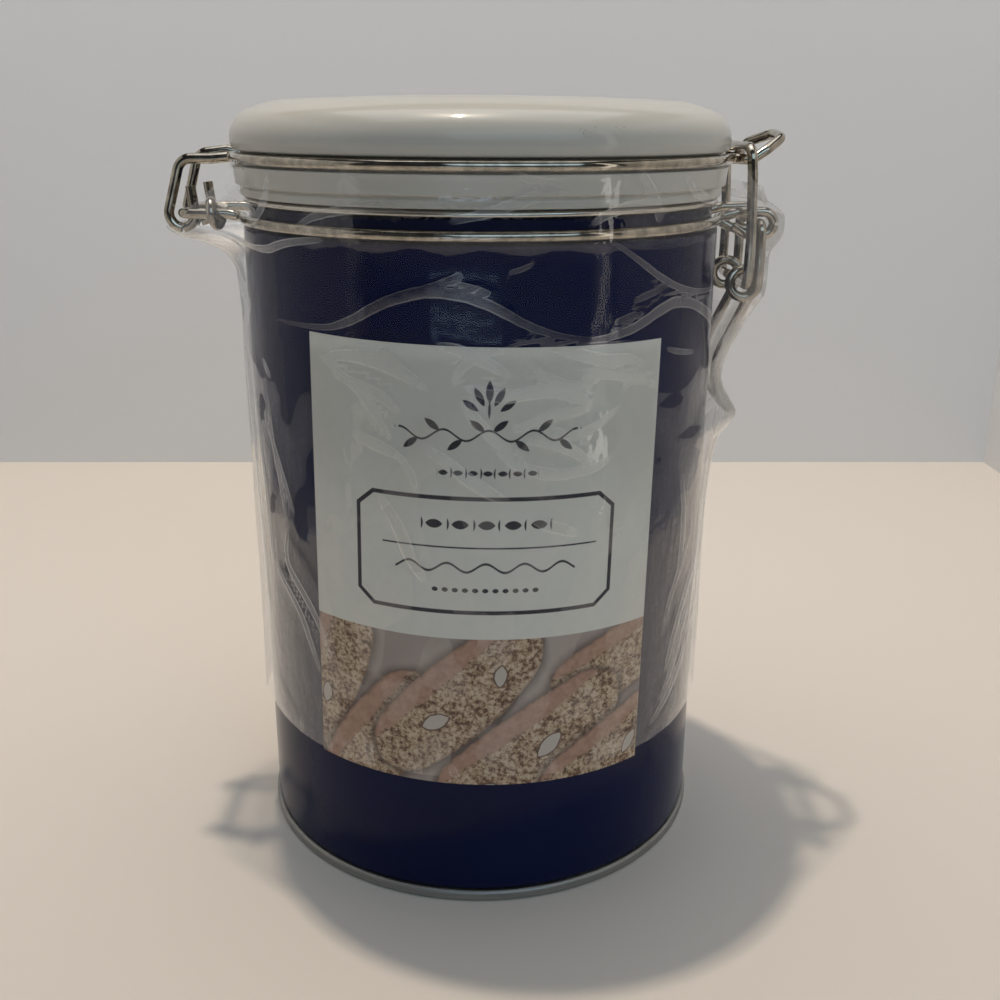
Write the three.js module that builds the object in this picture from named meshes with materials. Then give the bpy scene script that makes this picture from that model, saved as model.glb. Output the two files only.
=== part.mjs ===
// A shut biscuit canister: a round tin with a seamed foot, a domed lid held by a wire clamp,
// a paper label and a clear shrink band. Millimetres, +Z up, origin under the middle of the foot.
// The latch is on +X, the hinge on -X and the label faces -Y.
import * as THREE from 'three';

// ---- driving sizes ----
const TURN_STEPS = 64;                  // facets round the tin
const GAP = 0.3;                        // kept between pieces that touch

const TIN = { radius: 54, neckRadius: 52.6, shoulder: 146.3, neckFoot: 146.95, neckTop: 151.35 };
const FOOT = { radius: 54.72, height: 2.64, recess: 2, rimInner: 51.8, rimOuter: 54.1 };
const CURL = { radius: 53.75, inner: 52.45, low: 151.65, high: 152.95 };
const PLUG = { radius: 52.1, top: 152.9 };   // neck core inside the curl

const LID = {
  low: 153.25, bandRadius: 54.4, crease: 155.25, creaseRadius: 54,
  skirtLow: 55.15, skirtHigh: 55.65, skirtTop: 159.6,
  grooveRadius: 53.75, domeLow: 162.65, top: 173.9,
};

const WIRE = { radius: 1.15, bendStep: THREE.MathUtils.degToRad(22.5), ringStep: 7 };
const LID_RING = { radius: 55.26, z: 161.14 };
const NECK_RING = { radius: 54.16, z: 148.4 };
const NOSE = { y: 9, tipX: 67.5, tipY: 4.4, tipZ: 165.9, tilt: 0.4 };
const HOOK = { y: 8.5, cornerX: -66.4, outX: -70.88, inX: -63.6, bottomZ: 145.8, bend: 3.1 };
const BRACKET = { y: 11.3, x: -66.45, z: 149.1 };
const EYE = { y: 8.6, x: 66.05, lowZ: 144.3, highZ: 149.75, bend: 2.6 };
const COIL = { x: 59.8, z: 133.9, radius: 3.07, turn: 385, step: 2.7 };
const LEVER = { y: 11.2, pivotX: 62.75, pivotZ: 147.15, footX: 53.1, footZ: 112.2, tipX: 59.2, tipZ: 103.4 };
const BAIL = { y: 14, barX: 58.8, barZ: 163.6 };
const WRAP = { radius: 2.55, startX: -59.8, pitch: 2.2, start: 70, turn: 330 };

const LABEL = { width: 78.2, height: 97.1, thickness: 0.2, low: 30.5, lean: 1.2, side: 0.45 };
const FILM = { high: 160.9, latchDip: 4.9, hingeDip: 14.4, wall: 0.3, bodyRadius: 54.85 };

// ---- finishes ----
function finish(color, roughness, metalness, extra = {}) {
  return new THREE.MeshStandardMaterial({ color, roughness, metalness, ...extra });
}

const finishes = {
  navy: finish(0x10122c, 0.35, 0.2),
  tinplate: finish(0x8e8c86, 0.5, 0.9),
  enamel: finish(0xd9d6cc, 0.25, 0),
  steel: finish(0xb9b4a8, 0.2, 1),
  paper: finish(0xc4cbc8, 0.6, 0),
  film: finish(0xf2f4f6, 0.08, 0, { transparent: true, opacity: 0.2 }),
};

const canister = new THREE.Group();

function addPiece(name, geometry, material) {
  const piece = new THREE.Mesh(geometry, material);
  piece.name = name;
  canister.add(piece);
}

// ---- turned pieces ----
/** Turns an outline of [radius, height] pairs round the Z axis. */
function turned(outline, steps = TURN_STEPS) {
  const points = outline.map(([r, z]) => new THREE.Vector2(r, z));
  return new THREE.LatheGeometry(points, steps).rotateX(Math.PI / 2);
}

function makeTin() {
  const underside = FOOT.height + GAP;
  return turned([
    [0, underside], [TIN.radius - 0.4, underside], [TIN.radius, underside + 0.4],
    [TIN.radius, TIN.shoulder], [TIN.radius - 0.45, TIN.neckFoot - 0.15],
    [TIN.neckRadius, TIN.neckFoot], [TIN.neckRadius, TIN.neckTop],
    [PLUG.radius, TIN.neckTop], [PLUG.radius, PLUG.top], [0, PLUG.top],
  ]);
}

function makeFoot() {
  const panel = FOOT.recess;
  return turned([
    [0, panel], [FOOT.rimInner - 1.2, panel], [FOOT.rimInner, 0], [FOOT.rimOuter, 0],
    [FOOT.radius, 0.7], [FOOT.radius, FOOT.height - 0.6], [FOOT.rimOuter + 0.1, FOOT.height],
    [0, FOOT.height],
  ]);
}

function makeCurl() {
  const middle = (CURL.radius + CURL.inner) / 2;
  const round = (CURL.high - CURL.low) / 2;
  const height = (CURL.high + CURL.low) / 2;
  const sides = 8;
  const outline = [];
  for (let i = 0; i <= sides; i += 1) {
    const angle = (2 * Math.PI * i) / sides;
    outline.push([middle + (CURL.radius - middle) * Math.cos(angle), height + round * Math.sin(angle)]);
  }
  return turned(outline);
}

function makeLid() {
  const dome = new THREE.SplineCurve([
    [55.1, LID.domeLow], [55.75, 163.9], [55.95, 165.6], [55.15, 168], [52.85, 170.6],
    [48.2, 172.5], [40, 173.4], [20, LID.top - 0.1], [0, LID.top],
  ].map(([r, z]) => new THREE.Vector2(r, z))).getPoints(14).map((p) => [Math.max(p.x, 0), p.y]);
  return turned([
    [0, LID.low], [LID.bandRadius - 0.5, LID.low], [LID.bandRadius, LID.low + 0.4],
    [LID.bandRadius, LID.crease - 0.3], [LID.creaseRadius, LID.crease],
    [LID.skirtLow, LID.crease + 0.45], [LID.skirtHigh, LID.skirtTop - 0.4],
    [LID.skirtHigh - 0.4, LID.skirtTop], [LID.grooveRadius, LID.skirtTop + 0.15],
    [LID.grooveRadius, LID.domeLow - 0.1], ...dome,
  ]);
}

// ---- bent wire ----
/** A wire's centre line through points that stand evenly along its parameter. */
class WireLine extends THREE.Curve {
  constructor(points) {
    super();
    this.points = points;
  }

  getUtoTmapping(u) {
    return u;
  }

  getPoint(t, target = new THREE.Vector3()) {
    const last = this.points.length - 1;
    const i = Math.min(Math.floor(t * last), last - 1);
    return target.lerpVectors(this.points[i], this.points[i + 1], t * last - i);
  }
}

/** Corners are [x, y, z, bend radius]; a corner with no radius is a plain point. */
function bentLine(corners) {
  const at = corners.map(([x, y, z]) => new THREE.Vector3(x, y, z));
  const points = [];
  corners.forEach(([, , , bend = 0], i) => {
    if (!bend) {
      points.push(at[i]);
      return;
    }
    const back = at[i - 1].clone().sub(at[i]).normalize();
    const ahead = at[i + 1].clone().sub(at[i]).normalize();
    const half = back.angleTo(ahead) / 2;
    const centre = back.clone().add(ahead).normalize().multiplyScalar(bend / Math.sin(half)).add(at[i]);
    const spoke = back.clone().multiplyScalar(bend / Math.tan(half)).add(at[i]).sub(centre);
    const axis = ahead.clone().cross(back).normalize();
    const turn = Math.PI - 2 * half;
    const steps = Math.max(2, Math.ceil(turn / WIRE.bendStep));
    for (let k = 0; k <= steps; k += 1) {
      points.push(spoke.clone().applyAxisAngle(axis, (turn * k) / steps).add(centre));
    }
  });
  return points;
}

function wire(corners) {
  const points = bentLine(corners);
  const section = new THREE.Shape().absarc(0, 0, WIRE.radius, 0, 2 * Math.PI);
  return new THREE.ExtrudeGeometry(section, {
    steps: points.length - 1, curveSegments: 4, extrudePath: new WireLine(points),
  });
}

/** Points of a level ring from one azimuth to another, in degrees, on the given side of the XZ plane. */
function ringPoints({ radius, z }, from, to, side) {
  const count = Math.round((to - from) / WIRE.ringStep);
  const points = [];
  for (let i = 0; i <= count; i += 1) {
    const angle = THREE.MathUtils.degToRad(from + ((to - from) * i) / count);
    points.push([radius * Math.cos(angle), side * radius * Math.sin(angle), z]);
  }
  return points;
}

/** Joins a half made for the near side, run backwards, to the same half made for the far side. */
function bothSides(half) {
  return wire([...half(-1).reverse(), ...half(1)]);
}

/** Nose, half ring and hinge hook of the lid's wire, from the nose tip to the hook's end. */
function lidWireHalf(side) {
  const near = side < 0;
  const armZ = near ? 160.7 : 162.1;
  const cornerZ = near ? 160.7 : 161.3;
  const noseMiddle = near ? [63.6, -7.7, 163.1, 3] : [62.5, 8, 164.3, 2.4];
  return [
    [NOSE.tipX, side * NOSE.tipY, NOSE.tipZ + side * NOSE.tilt, 3.2],
    noseMiddle,
    [60.2, side * (NOSE.y - 0.5), LID_RING.z - 0.2, 1.6],
    [55.3, side * NOSE.y, LID_RING.z, 1.6],
    ...ringPoints(LID_RING, 18, 162, side),
    [-54.6, side * HOOK.y, LID_RING.z, 1.6],
    [-59.5, side * HOOK.y, armZ],
    [HOOK.cornerX, side * HOOK.y, cornerZ, 3.2],
    [HOOK.outX, side * HOOK.y, HOOK.bottomZ, HOOK.bend],
    [HOOK.inX, side * HOOK.y, HOOK.bottomZ, HOOK.bend],
    [HOOK.inX - 1, side * HOOK.y, 154.9],
  ];
}

/** Latch eye, half ring and half hinge bracket of the neck's wire, from the eye's free end. */
function neckWireHalf(side) {
  return [
    [BRACKET.x, side * BRACKET.y, BRACKET.z, 2.4],
    [-56.5, side * BRACKET.y, BRACKET.z],
    [-52.97, side * BRACKET.y, NECK_RING.z, 2],
    ...ringPoints(NECK_RING, 18, 160, side).reverse(),
    [53.5, side * EYE.y, NECK_RING.z, 2],
    [57.5, side * EYE.y, EYE.highZ - 0.2],
    [EYE.x, side * EYE.y, EYE.highZ, EYE.bend],
    [EYE.x, side * EYE.y, EYE.lowZ, EYE.bend],
    [59.9, side * EYE.y, EYE.lowZ + 0.5],
    [56.8, side * EYE.y, EYE.lowZ + 2.1],
  ];
}

function bailHalf(side) {
  return [
    [BAIL.barX, side * BAIL.y, BAIL.barZ, 2.8],
    [59.3, side * BAIL.y, 158],
    [59.95, side * BAIL.y, 144],
    [COIL.x, side * BAIL.y, COIL.z, 2.2],
    [COIL.x, side * 7, COIL.z],
  ];
}

/** Handle, coil and arm of the lever, from the handle's crossbar to the end in the eye. */
function leverHalf(side) {
  const coil = [];
  const coilSteps = 18;
  for (let i = 0; i <= coilSteps; i += 1) {
    const share = i / coilSteps;
    const angle = THREE.MathUtils.degToRad(-COIL.turn * (1 - share));
    coil.push([
      COIL.x + COIL.radius * Math.cos(angle),
      side * (LEVER.y - COIL.step * (1 - share)),
      COIL.z + COIL.radius * Math.sin(angle),
    ]);
  }
  const handleY = side * (LEVER.y - COIL.step);
  return [
    [LEVER.tipX, handleY, LEVER.tipZ, 2.8],
    [LEVER.footX, handleY, LEVER.footZ, 13],
    ...coil,
    [62.95, side * LEVER.y, 141],
    [LEVER.pivotX, side * LEVER.y, LEVER.pivotZ, 1.8],
    [LEVER.pivotX, side * 7.1, LEVER.pivotZ],
  ];
}

/** A turn of wire round the near bar of the hinge bracket. */
function wrapCorners() {
  const corners = [];
  const steps = 16;
  for (let i = 0; i <= steps; i += 1) {
    const angle = THREE.MathUtils.degToRad(WRAP.start + (WRAP.turn * i) / steps);
    corners.push([
      WRAP.startX + (WRAP.pitch * i) / steps,
      -BRACKET.y + WRAP.radius * Math.cos(angle),
      BRACKET.z + WRAP.radius * Math.sin(angle),
    ]);
  }
  return corners;
}

// ---- label ----
/** A thin sheet, leaned a little in its own plane and bent round the tin. */
function makeLabel() {
  const sheet = new THREE.BoxGeometry(LABEL.width, LABEL.thickness, LABEL.height, 24, 1, 1);
  sheet.rotateY(THREE.MathUtils.degToRad(LABEL.lean));
  const inner = TIN.radius + GAP - 0.05;
  const place = sheet.attributes.position;
  for (let i = 0; i < place.count; i += 1) {
    const radius = inner + LABEL.thickness / 2 - place.getY(i);
    const angle = place.getX(i) / TIN.radius + THREE.MathUtils.degToRad(LABEL.side - 90);
    const height = LABEL.low + LABEL.height / 2 + place.getZ(i);
    place.setXYZ(i, radius * Math.cos(angle), radius * Math.sin(angle), height);
  }
  return sheet;
}

// ---- shrink band ----
/** Height, reach and half width of the tents that the band makes over the latch and the hinge. */
const LATCH_TENT = [
  [84, 54.8, 10], [90, 55.2, 10], [94, 55.8, 10], [98.2, 57.2, 10], [101.4, 60.3, 10],
  [103.5, 61, 10], [106, 59.6, 10], [109, 57.6, 10], [112, 56.5, 10], [115, 56.9, 10],
  [119, 58.5, 10], [125, 61.3, 10], [129, 62.9, 11.5], [131.5, 64.4, 12.8], [134, 64.9, 12.8],
  [141, 65.2, 12.8], [143.2, 66.7, 12.8], [147, 67.8, 12.8], [150.2, 67.3, 12.8],
  [152.5, 64.5, 14.5], [156, 61.5, 15.6], [162, 61.5, 15.6],
];
const HINGE_TENT = [
  [130, 54.8, 11], [137.4, 55.4, 11], [140, 57, 11], [141.5, 58.8, 11], [143, 62.4, 11],
  [144.4, 69.1, 10.8], [145.4, 69.9, 10.8], [146.6, 70.7, 10.6], [150, 68.5, 13], [152.5, 63.5, 15.2],
  [157, 58.5, 15.2], [161, 55, 15],
];

function tentCorner(tent, z) {
  const above = tent.findIndex(([height]) => height > z);
  if (above <= 0) {
    const [, x, y] = above < 0 ? tent[tent.length - 1] : tent[0];
    return [x, y];
  }
  const [z0, x0, y0] = tent[above - 1];
  const [z1, x1, y1] = tent[above];
  const share = (z - z0) / (z1 - z0);
  return [x0 + (x1 - x0) * share, y0 + (y1 - y0) * share];
}

/** Distance from the axis to film drawn tight round a circle and a bar ahead of it. */
function tightRadius(angle, circle, [x, y]) {
  const reach = Math.hypot(x, y);
  if (reach <= circle) return circle;
  const cornerAngle = Math.atan2(y, x);
  const leaveAngle = cornerAngle + Math.acos(circle / reach);
  const off = Math.abs(angle);
  if (off >= leaveAngle) return circle;
  return off > cornerAngle ? circle / Math.cos(leaveAngle - off) : x / Math.cos(off);
}

/** The band lies on the tin and steps out over the two wire rings. */
function bandRadius(z) {
  const steps = [[140.5, FILM.bodyRadius], [145.5, 55.5], [149.5, 55.75], [153, 55.9], [159.5, 56.75]];
  if (z <= steps[0][0]) return steps[0][1];
  const above = steps.findIndex(([height]) => height > z);
  if (above < 0) return steps[steps.length - 1][1];
  const [z0, r0] = steps[above - 1];
  const [z1, r1] = steps[above];
  return r0 + ((r1 - r0) * (z - z0)) / (z1 - z0);
}

function makeFilm() {
  const levels = [31.5, 84, 92, 98, 101.5, 103.7, 106, 110, 116, 125, 131, 137, 141.5, 145, 148, 152,
    156, FILM.high];
  const slackLevel = 137;               // above this the levels crowd where the edge dips
  const outer = FILM.bodyRadius + FILM.wall;
  const inner = FILM.bodyRadius;
  const outline = [
    ...levels.map((z) => [outer, z]),
    ...levels.toReversed().map((z) => [inner, z]),
    [outer, levels[0]],
  ];
  const band = turned(outline);
  const place = band.attributes.position;
  const smooth = THREE.MathUtils.smoothstep;
  for (let i = 0; i < place.count; i += 1) {
    const raw = Math.atan2(place.getY(i), place.getX(i));
    const angle = raw - 0.25 * Math.sin(2 * raw);   // facets crowd towards latch and hinge
    const fromLatch = Math.abs(angle);
    const fromHinge = Math.PI - fromLatch;
    const isOuter = Math.hypot(place.getX(i), place.getY(i)) > inner + FILM.wall / 2;
    const high = FILM.high - FILM.latchDip * (1 - smooth(fromLatch, 0.26, 0.42))
      - FILM.hingeDip * (1 - smooth(fromHinge, 0.17, 0.42));
    const level = place.getZ(i);
    const crowding = (high - slackLevel) / (FILM.high - slackLevel);
    const z = level > slackLevel ? slackLevel + (level - slackLevel) * crowding : level;
    const circle = bandRadius(z);
    const radius = Math.max(
      tightRadius(fromLatch, circle, tentCorner(LATCH_TENT, z)),
      tightRadius(fromHinge, circle, tentCorner(HINGE_TENT, z)),
    ) + (isOuter ? FILM.wall : 0);
    place.setXYZ(i, radius * Math.cos(angle), radius * Math.sin(angle), z);
  }
  return band;
}

// ---- assembly ----
addPiece('tin_body', makeTin(), finishes.navy);
addPiece('base_end', makeFoot(), finishes.tinplate);
addPiece('neck_curl', makeCurl(), finishes.tinplate);
addPiece('lid', makeLid(), finishes.enamel);
addPiece('lid_wire', bothSides(lidWireHalf), finishes.steel);
addPiece('neck_wire', bothSides(neckWireHalf), finishes.steel);
addPiece('bail', bothSides(bailHalf), finishes.steel);
addPiece('lever', bothSides(leverHalf), finishes.steel);
addPiece('tie_wrap', wire(wrapCorners()), finishes.steel);
addPiece('label', makeLabel(), finishes.paper);
addPiece('shrink_film', makeFilm(), finishes.film);

export default canister;
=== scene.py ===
import random
from functools import cached_property
from math import ceil, cos, degrees, hypot, pi, radians, sin, sqrt, tan

import bpy
import numpy as np
from mathutils import Matrix, Vector


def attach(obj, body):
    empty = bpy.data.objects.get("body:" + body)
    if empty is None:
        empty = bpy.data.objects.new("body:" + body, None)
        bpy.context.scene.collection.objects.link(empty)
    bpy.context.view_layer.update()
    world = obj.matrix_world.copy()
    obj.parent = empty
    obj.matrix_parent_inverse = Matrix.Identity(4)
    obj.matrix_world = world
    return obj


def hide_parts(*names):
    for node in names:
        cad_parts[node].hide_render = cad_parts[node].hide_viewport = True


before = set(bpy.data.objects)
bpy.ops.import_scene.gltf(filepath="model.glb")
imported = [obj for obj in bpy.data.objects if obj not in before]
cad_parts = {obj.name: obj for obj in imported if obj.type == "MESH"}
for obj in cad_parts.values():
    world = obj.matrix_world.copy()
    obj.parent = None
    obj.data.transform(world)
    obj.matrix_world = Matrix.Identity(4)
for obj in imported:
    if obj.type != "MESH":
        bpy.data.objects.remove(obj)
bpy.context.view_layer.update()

# A shut biscuit canister in its shrink band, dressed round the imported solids.
# Sizes are millimetres and angles degrees unless a note says otherwise.
# The latch is on +X and the label faces -Y.
mm = 0.001


def takeUp(piece):
    bpy.ops.object.select_all(action="DESELECT")
    piece.select_set(True)
    bpy.context.view_layer.objects.active = piece


def nameIt(name):
    piece = bpy.context.object
    piece.name = name
    piece.data.name = name
    return piece


def settle(piece, smoothUnder=35):
    # puts the place into the mesh and shades it smooth below the given angle
    takeUp(piece)
    bpy.ops.object.transform_apply()
    bpy.ops.object.shade_smooth_by_angle(angle=radians(smoothUnder))
    return piece


def openUp(piece):
    # selects all of the mesh for editing
    takeUp(piece)
    bpy.ops.object.mode_set(mode="EDIT")
    bpy.ops.mesh.select_all(action="SELECT")


def mend(piece, gap):
    # merges points closer than the gap and turns the faces outwards
    openUp(piece)
    bpy.ops.mesh.remove_doubles(threshold=gap)
    bpy.ops.mesh.normals_make_consistent(inside=False)
    bpy.ops.object.mode_set(mode="OBJECT")


def finishUp(piece, node, material):
    piece.data.materials.clear()
    piece.data.materials.append(material)
    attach(piece, "root")
    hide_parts(node)


def applyModifier(piece, kind, **settings):
    takeUp(piece)
    modifier = piece.modifiers.new(kind.lower(), kind)
    for key, value in settings.items():
        setattr(modifier, key, value)
    bpy.ops.object.modifier_apply(modifier=modifier.name)


def maths(operation, turned=False):
    # a method that adds one Math node
    def method(self, *others):
        values = (*others, self) if turned else (self, *others)
        return self.finish.node("Math", values, operation=operation)
    return method


class Signal:
    # one socket's value, with arithmetic that adds the Math nodes
    def __init__(self, finish, socket):
        self.finish = finish
        self.socket = socket

    __add__ = __radd__ = maths("ADD")
    __sub__ = maths("SUBTRACT")
    __rsub__ = maths("SUBTRACT", turned=True)
    __mul__ = __rmul__ = maths("MULTIPLY")
    __truediv__ = maths("DIVIDE")
    __pow__ = maths("POWER")
    atLeast = maths("MAXIMUM")
    atMost = maths("MINIMUM")
    size = maths("ABSOLUTE")
    root = maths("SQRT")
    cosine = maths("COSINE")
    wrapped = maths("WRAP")      # repeats between its upper and its lower bound

    def fade(self, low, high):
        # 0 below low, 1 above high, eased between
        values = (self, low, high, 0.0, 1.0)
        return self.finish.node("MapRange", values, interpolation_type="SMOOTHSTEP")

    def near(self, middle, full, gone):
        # 1 up to the first distance from the middle, 0 beyond the second
        return 1 - (self - middle).size().fade(full, gone)


class Finish:
    # the nodes of a new material, or of the world
    def __init__(self, name, block=None, output="OutputMaterial"):
        self.block = block or bpy.data.materials.new(name)
        self.block.use_nodes = True
        self.tree = self.block.node_tree
        self.tree.nodes.clear()
        self.output = self.tree.nodes.new("ShaderNode" + output)

    def node(self, kind, sockets=(), output=0, **settings):
        made = self.tree.nodes.new("ShaderNode" + kind)
        for key, value in settings.items():
            setattr(made, key, value)
        pairs = sockets.items() if isinstance(sockets, dict) else enumerate(sockets)
        for key, value in pairs:
            if isinstance(value, Signal):
                self.tree.links.new(value.socket, made.inputs[key])
            else:
                made.inputs[key].default_value = value
        return Signal(self, made.outputs[output])

    @cached_property
    def place(self):
        # object coordinates
        return self.node("TexCoord", output=3)

    def axes(self, vector):
        parts = self.node("SeparateXYZ", (vector,))
        return [Signal(self, part) for part in parts.socket.node.outputs]

    def stretched(self, scale):
        return self.node("Mapping", {0: self.place, "Scale": scale})

    def grain(self, scale, detail=3.0, roughness=0.5, vector=None, distortion=0.0):
        return self.node("TexNoise", {
            "Vector": vector or self.place, "Scale": scale, "Detail": detail,
            "Roughness": roughness, "Distortion": distortion})

    def blend(self, share, under, over):
        return self.node("Mix", {0: share, 6: under, 7: over}, output=2, data_type="RGBA")

    def ramp(self, value, stops):
        made = self.node("ValToRGB", (value,))
        points = made.socket.node.color_ramp.elements
        while len(points) < len(stops):
            points.new(0.5)
        for point, (place, tint) in zip(points, stops):
            point.position = place
            point.color = (*tint, 1)
        return made

    def bump(self, height, strength, distance=0.001, normal=None):
        sockets = {"Height": height, "Strength": strength, "Distance": distance}
        if normal is not None:
            sockets["Normal"] = normal
        return self.node("Bump", sockets)

    def field(self, name):
        # a number kept on the mesh's points
        return self.node("Attribute", output=2, attribute_name=name)

    def principled(self, sockets):
        return self.node("BsdfPrincipled", sockets)

    def painted(self, sockets):
        return self.done(self.principled(sockets))

    def done(self, shader):
        self.tree.links.new(shader.socket, self.output.inputs["Surface"])
        return self.block


def shaded(tint, share):
    # a darker shade of a tint, with its alpha
    return (*(share * part for part in tint[:3]), 1)


navyLook = {"deep": (0.0018, 0.0052, 0.037, 1), "worn": (0.0028, 0.0072, 0.047, 1),
            "roughness": 0.17, "uneven": 0.06, "shine": 0.14}


def makeNavy():
    look = navyLook
    finish = Finish("navyLacquer")
    cloud = finish.grain(28, 2.0, 0.6)
    orangePeel = finish.grain(900, 1.0)
    mottle = finish.blend(cloud.fade(0.35, 0.75), look["deep"], look["worn"])
    return finish.painted({
        "Base Color": mottle,
        "Roughness": look["roughness"] + (cloud - 0.5) * look["uneven"],
        "Specular IOR Level": look["shine"],
        "Normal": finish.bump(orangePeel, 0.05, 0.0002)})


enamelLook = {"shade": (0.53, 0.512, 0.464, 1), "light": (0.565, 0.546, 0.495, 1),
              "roughness": 0.3, "uneven": 0.05, "shine": 0.15, "coat": 0.45, "coatRoughness": 0.03,
              # faint scuffs: x and z of the drawn-out one in front, x and y of the small one above
              "scuffTint": (0.05, 0.045, 0.04, 1), "scuff": 0.85,
              "frontScuff": (24.5, 167.3), "topScuff": (19.5, -29.0)}


def makeEnamel():
    look = enamelLook
    finish = Finish("lidEnamel")
    x, y, z = (axis * 1000.0 for axis in finish.axes(finish.place))      # in millimetres
    pale = finish.blend(finish.grain(14, 2.0).fade(0.3, 0.8), look["shade"], look["light"])
    specks = finish.grain(2300, 2.0, 0.7).fade(0.6, 0.68) * finish.grain(420, 2.0).fade(0.5, 0.6)
    frontX, frontZ = look["frontScuff"]
    topX, topY = look["topScuff"]
    front = z.near(frontZ, 0.35, 1.1) * x.near(frontX, 6.0, 13.0) * (1 - y.fade(-44.0, -40.0))
    above = x.near(topX, 0.8, 2.2) * y.near(topY, 1.5, 4.0) * z.fade(171.0, 172.0)
    scuff = specks * (front + above).atMost(1.0)
    ripple = finish.grain(75, 1.0)
    return finish.painted({
        "Base Color": finish.blend(scuff * look["scuff"], pale, look["scuffTint"]),
        "Roughness": look["roughness"] + ripple * look["uneven"],
        "Specular IOR Level": look["shine"],
        "Coat Weight": look["coat"], "Coat Roughness": look["coatRoughness"],
        "Normal": finish.bump(ripple, 0.06, 0.0006)})


tinplateLooks = {"seamTinplate": {"tint": (0.42, 0.42, 0.405), "roughness": 0.5},
                 "rimTinplate": {"tint": (0.74, 0.70, 0.62), "roughness": 0.16}}


def makeTinplate(name):
    look = tinplateLooks[name]
    finish = Finish(name)
    rolled = finish.grain(1.0, 3.0, 0.65, finish.stretched((120, 120, 6000)))
    shade = finish.blend(rolled.fade(0.25, 0.8), shaded(look["tint"], 0.72), shaded(look["tint"], 1))
    return finish.painted({
        "Base Color": shade, "Metallic": 1.0, "Roughness": look["roughness"] + (rolled - 0.5) * 0.2,
        "Normal": finish.bump(rolled, 0.15, 0.0002)})


steelLook = {"dull": (0.30, 0.275, 0.225, 1), "bright": (0.57, 0.515, 0.425, 1),
             "roughness": 0.08, "uneven": 0.14}


def makeSteel():
    look = steelLook
    finish = Finish("latchWire")
    drawn = finish.grain(330, 3.0, 0.6)
    dents = finish.grain(85, 1.0)
    return finish.painted({
        "Base Color": finish.blend(drawn.fade(0.3, 0.75), look["dull"], look["bright"]),
        "Metallic": 1.0, "Roughness": look["roughness"] + drawn.fade(0.35, 0.9) * look["uneven"],
        "Normal": finish.bump(dents, 0.12, 0.0006, finish.bump(drawn, 0.06, 0.00015))})


# x and y of the print run from the middle of the label's lower edge
labelPrint = {
    "paper": (0.67, 0.67, 0.62, 1), "paperShade": 0.965, "ink": (0.005, 0.006, 0.020, 1),
    "roughness": 0.45, "lineSoftness": 0.09, "pictureTop": 35.1, "pictureSoftness": 0.08,
    "frame": {"left": -27.1, "right": 27.9, "low": 41.2, "high": 66.2, "notchWide": 3.5,
              "notchHigh": 3.0, "line": 0.9},
    "rule": {"left": -21.5, "right": 24.2, "height": 55.6, "line": 0.36},
    # ornaments, mirrored about the frame's middle; a leaf is x, y, turn, half length, half width
    "sprig": [(0.0, 88.3, 90, 2.3, 0.75), (2.0, 87.3, 62, 2.1, 0.7), (3.7, 85.5, 35, 1.9, 0.65),
              (0.0, 84.6, 90, 1.8, 0.28)],
    # the vine's leaves, two rows of lozenges and a row of dots: height, half width, period, leaves
    "rows": [(79.4, 19.0, 9.0, [(2.3, 2.0, 38, 1.9, 0.68), (-2.3, -2.0, -38, 1.9, 0.68)]),
             (71.6, 10.2, 3.0, [(0.0, 0.0, 0, 1.0, 0.55), (1.5, 0.0, 90, 1.15, 0.36)]),
             (60.6, 14.0, 5.4, [(0.0, 0.0, 0, 1.75, 0.95), (2.7, 0.0, 90, 1.3, 0.42)]),
             (46.2, 11.6, 2.1, [(0.0, 0.0, 0, 0.66, 0.5)])],
    # the vine's stem and a wavy line: height, half width, period, rise, half of the line's width
    "waves": [(79.4, 18.2, 9.0, 1.1, 0.22), (51.2, 19.0, 8.0, 0.95, 0.26)],
    # shingled slices: middle x and y, turn, half length, half width, nuts as leaves in the slice's axes
    "slices": [(-37.0, 20.0, 66, 22, 8.6, [(-4.0, -1.6, 15, 3.0, 1.6)]),
               (34.5, 27.5, 20, 21, 8.4, []),
               (-23.0, 8.5, 54, 21, 9.0, [(6.5, -1.6, 25, 3.2, 1.7)]),
               (-5.5, 20.5, 45, 24, 9.2, [(-7.0, -1.0, -18, 3.6, 1.9), (11.0, -2.6, 40, 2.8, 1.6)]),
               (11.5, 8.5, 36, 25, 9.8, [(3.5, -1.8, 12, 3.9, 2.0), (-13.0, -2.4, -30, 2.9, 1.6)]),
               (32.5, 5.0, 27, 21, 8.6, [(3.5, -2.0, 28, 3.3, 1.7)])],
    "corner": 0.8, "bow": 0.006, "ragged": 0.25, "shadow": 0.8, "rimmed": 0.45,
    "cloth": [(0.25, (0.29, 0.24, 0.22)), (0.8, (0.38, 0.325, 0.30))],
    "crumb": [(0.38, (0.09, 0.042, 0.024)), (0.45, (0.23, 0.135, 0.08)), (0.51, (0.41, 0.295, 0.19)),
              (0.62, (0.56, 0.46, 0.345))],
    "crust": [(0.35, (0.33, 0.185, 0.13)), (0.65, (0.44, 0.27, 0.20))],
    "shade": (0.06, 0.037, 0.033, 1), "rim": (0.16, 0.078, 0.05, 1),
    "nut": (0.50, 0.455, 0.40, 1), "skin": (0.11, 0.055, 0.042, 1),
}


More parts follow.
